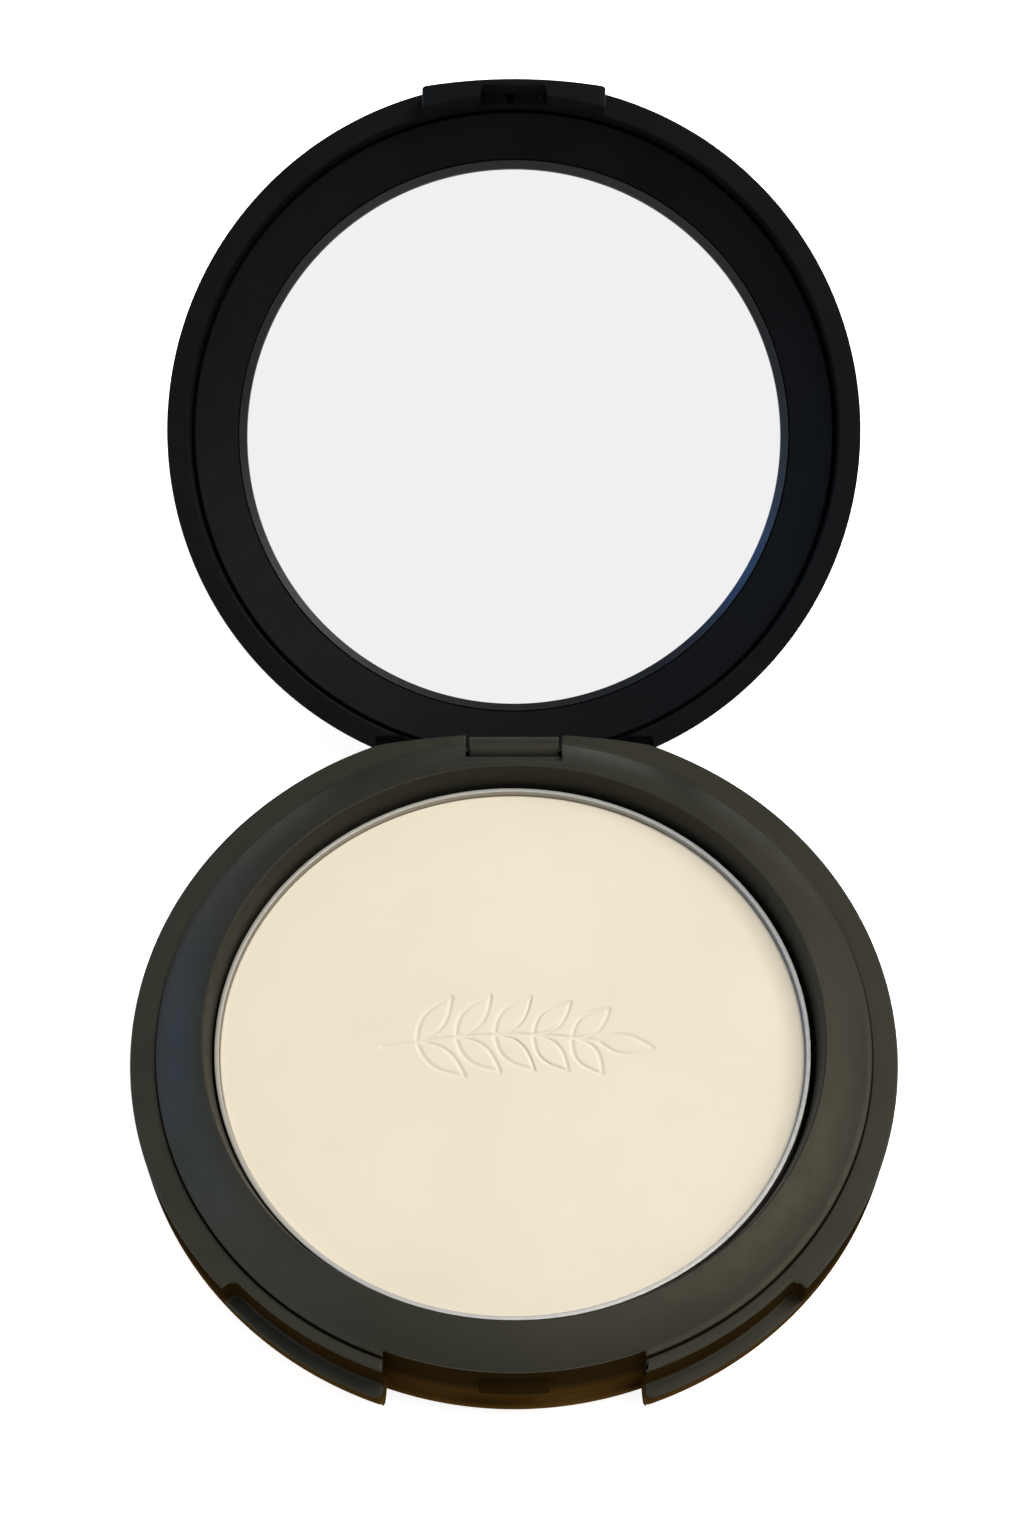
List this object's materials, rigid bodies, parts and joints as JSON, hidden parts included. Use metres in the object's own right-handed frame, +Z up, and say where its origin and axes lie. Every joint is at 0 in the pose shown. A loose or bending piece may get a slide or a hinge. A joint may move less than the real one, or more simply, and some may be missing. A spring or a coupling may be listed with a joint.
{
  "type": "powder compact",
  "caption": "Round hinged pressed-powder compact, standing open, with a mirror in the lid, a powder pan in a raised collar and a thumb gap with a catch at the front.",
  "frame": {"origin": "centre of the base's flat underside", "axes": "+Z up out of the powder; +Y towards the hinge and the open lid; the thumb gap faces -Y"},
  "size_m": [0.076, 0.1338, 0.052],
  "materials": {
    "base_plastic": "satin",
    "lid_plastic": "satin",
    "pan_metal": "satin",
    "powder": "matte",
    "mirror": "polished",
    "pin_steel": "satin",
    "label_paper": "matte",
    "glue": "satin",
    "tape": "matte"
  },
  "bodies": {
    "base": {"base_shell": "base_plastic", "base_tray": "base_plastic", "powder_pan": "pan_metal", "powder_cake": "powder", "hinge_pin": "pin_steel", "bottom_label": "label_paper", "pan_glue_dot_1": "glue", "pan_glue_dot_2": "glue", "pan_glue_dot_3": "glue", "pan_glue_dot_4": "glue"},
    "lid": {"lid_cover": "lid_plastic", "mirror_frame": "lid_plastic", "mirror_glass": "mirror", "mirror_tape": "tape"}
  },
  "joints": [
    {"name": "lid_hinge", "type": "hinge", "parent": "base", "child": "lid", "pos_m": [0, 0.035, 0.0078], "axis": [1, 0, 0], "range_deg": [0, 143.8]}
  ]
}
